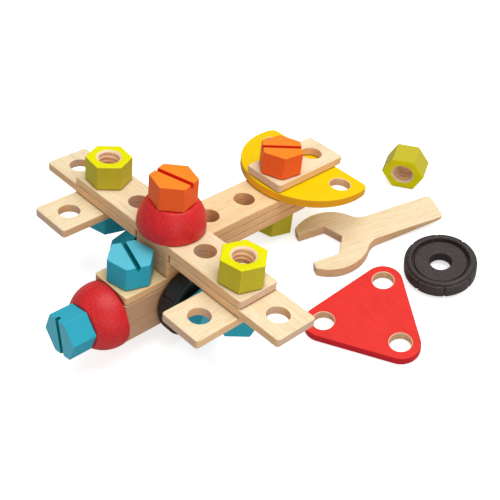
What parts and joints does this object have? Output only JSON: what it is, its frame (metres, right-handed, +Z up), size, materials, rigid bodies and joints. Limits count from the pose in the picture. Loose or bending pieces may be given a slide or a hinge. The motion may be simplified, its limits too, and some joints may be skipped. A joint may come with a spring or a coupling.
{
  "type": "toy construction set",
  "caption": "Wooden bolt-together toy aeroplane of drilled planks with domes, wheels, slotted hex bolts and nuts, beside a loose wrench, triangle, wheel and nut.",
  "frame": {"origin": "on the ground, directly below the middle of the wheel axle", "axes": "+X along the wing to the aeroplane's left, +Y along the ground to the tail, +Z up from the ground"},
  "size_m": [0.2919, 0.3304, 0.1217],
  "materials": {
    "natural_wood": "clear matt lacquer",
    "red_stain": "satin stain",
    "orange_stain": "satin stain",
    "blue_stain": "satin stain",
    "green_stain": "satin stain",
    "yellow_stain": "satin stain",
    "black_stain": "pressed wood composite, matt"
  },
  "bodies": {
    "airframe": {"wing_plank_top": "natural_wood", "wing_plank_left": "natural_wood", "wing_plank_right": "natural_wood", "fuselage_plank_upper": "natural_wood", "fuselage_plank_middle": "natural_wood", "fuselage_plank_lower": "natural_wood", "nose_plank": "natural_wood", "nose_block": "natural_wood"},
    "cross_plank_left": {"cross_plank_left": "natural_wood"},
    "cross_plank_right": {"cross_plank_right": "natural_wood"},
    "wing_bolt_left": {"wing_bolt_left": "blue_stain"},
    "wing_bolt_right": {"wing_bolt_right": "blue_stain"},
    "wing_nut_left": {"wing_nut_left": "green_stain"},
    "wing_nut_right": {"wing_nut_right": "green_stain"},
    "tail_plate": {"tail_plate": "yellow_stain"},
    "tail_plank": {"tail_plank": "natural_wood"},
    "tail_bolt": {"tail_bolt": "orange_stain"},
    "tail_nut": {"tail_nut": "green_stain"},
    "cockpit_dome": {"cockpit_dome": "red_stain"},
    "cockpit_bolt": {"cockpit_bolt": "orange_stain"},
    "nose_dome": {"nose_dome": "red_stain"},
    "nose_bolt": {"nose_bolt": "blue_stain"},
    "nose_deck_bolt": {"nose_deck_bolt": "blue_stain"},
    "wheel_left": {"wheel_left": "black_stain"},
    "wheel_right": {"wheel_right": "black_stain"},
    "wheel_bolt_left": {"wheel_bolt_left": "blue_stain"},
    "wheel_bolt_right": {"wheel_bolt_right": "blue_stain"},
    "triangle_plate": {"triangle_plate": "red_stain"},
    "wrench": {"wrench": "natural_wood"},
    "spare_wheel": {"spare_wheel": "black_stain"},
    "spare_nut": {"spare_nut": "green_stain"}
  },
  "joints": [
    {"name": "wheel_left_spin", "type": "hinge", "parent": "airframe", "child": "wheel_left", "pos_m": [0.0256, 0, 0.027], "axis": [1, 0, 0], "continuous": true},
    {"name": "wheel_right_spin", "type": "hinge", "parent": "airframe", "child": "wheel_right", "pos_m": [-0.0256, 0, 0.027], "axis": [1, 0, 0], "continuous": true},
    {"name": "cross_plank_left_swing", "type": "hinge", "parent": "airframe", "child": "cross_plank_left", "pos_m": [0.072, 0.00874, 0.06037], "axis": [0, 0.2533, 0.9674], "range_deg": [-54, 234]},
    {"name": "cross_plank_right_swing", "type": "hinge", "parent": "airframe", "child": "cross_plank_right", "pos_m": [-0.072, 0.00874, 0.06037], "axis": [0, 0.2533, 0.9674], "range_deg": [-234, 54]},
    {"name": "tail_plate_turn", "type": "hinge", "parent": "airframe", "child": "tail_plate", "pos_m": [0, 0.11676, 0.04657], "axis": [0, 0.2533, 0.9674], "continuous": true},
    {"name": "tail_plank_turn", "type": "hinge", "parent": "airframe", "child": "tail_plank", "pos_m": [0, 0.11854, 0.05334], "axis": [0, 0.2533, 0.9674], "continuous": true},
    {"name": "cockpit_dome_turn", "type": "hinge", "parent": "airframe", "child": "cockpit_dome", "pos_m": [0, 0.01602, 0.08819], "axis": [0, 0.2533, 0.9674], "continuous": true},
    {"name": "nose_dome_turn", "type": "hinge", "parent": "airframe", "child": "nose_dome", "pos_m": [0, -0.0638, 0.0437], "axis": [0, -0.9674, 0.2533], "continuous": true},
    {"name": "cockpit_bolt_turn", "type": "hinge", "parent": "airframe", "child": "cockpit_bolt", "pos_m": [0, 0.01887, 0.09907], "axis": [0, 0.2533, 0.9674], "continuous": true},
    {"name": "nose_bolt_turn", "type": "hinge", "parent": "airframe", "child": "nose_bolt", "pos_m": [0, -0.07468, 0.04655], "axis": [0, -0.9674, 0.2533], "continuous": true},
    {"name": "nose_deck_bolt_turn", "type": "hinge", "parent": "airframe", "child": "nose_deck_bolt", "pos_m": [0, -0.02875, 0.05933], "axis": [0, 0.2533, 0.9674], "continuous": true},
    {"name": "tail_bolt_turn", "type": "hinge", "parent": "airframe", "child": "tail_bolt", "pos_m": [0, 0.11942, 0.05672], "axis": [0, 0.2533, 0.9674], "continuous": true},
    {"name": "tail_nut_turn", "type": "hinge", "parent": "airframe", "child": "tail_nut", "pos_m": [0, 0.11056, 0.02286], "axis": [0, 0.2533, 0.9674], "continuous": true},
    {"name": "wheel_bolt_left_turn", "type": "hinge", "parent": "airframe", "child": "wheel_bolt_left", "pos_m": [0.0332, 0, 0.027], "axis": [1, 0, 0], "continuous": true},
    {"name": "wheel_bolt_right_turn", "type": "hinge", "parent": "airframe", "child": "wheel_bolt_right", "pos_m": [-0.0332, 0, 0.027], "axis": [1, 0, 0], "continuous": true},
    {"name": "wing_bolt_left_turn", "type": "hinge", "parent": "airframe", "child": "wing_bolt_left", "pos_m": [0.072, 0.00785, 0.05699], "axis": [0, 0.2533, 0.9674], "continuous": true},
    {"name": "wing_bolt_right_turn", "type": "hinge", "parent": "airframe", "child": "wing_bolt_right", "pos_m": [-0.072, 0.00785, 0.05699], "axis": [0, 0.2533, 0.9674], "continuous": true},
    {"name": "wing_nut_left_turn", "type": "hinge", "parent": "airframe", "child": "wing_nut_left", "pos_m": [0.072, 0.01317, 0.0773], "axis": [0, 0.2533, 0.9674], "continuous": true},
    {"name": "wing_nut_right_turn", "type": "hinge", "parent": "airframe", "child": "wing_nut_right", "pos_m": [-0.072, 0.01317, 0.0773], "axis": [0, 0.2533, 0.9674], "continuous": true},
    {"name": "triangle_plate_lift", "type": "slide", "parent": "airframe", "child": "triangle_plate", "axis": [0, 0, 1], "range_m": [0, 0.2]},
    {"name": "wrench_lift", "type": "slide", "parent": "airframe", "child": "wrench", "axis": [0, 0, 1], "range_m": [0, 0.02]},
    {"name": "spare_wheel_lift", "type": "slide", "parent": "airframe", "child": "spare_wheel", "axis": [0, 0, 1], "range_m": [0, 0.2]},
    {"name": "spare_nut_lift", "type": "slide", "parent": "airframe", "child": "spare_nut", "axis": [0, 0, 1], "range_m": [0, 0.2]}
  ]
}
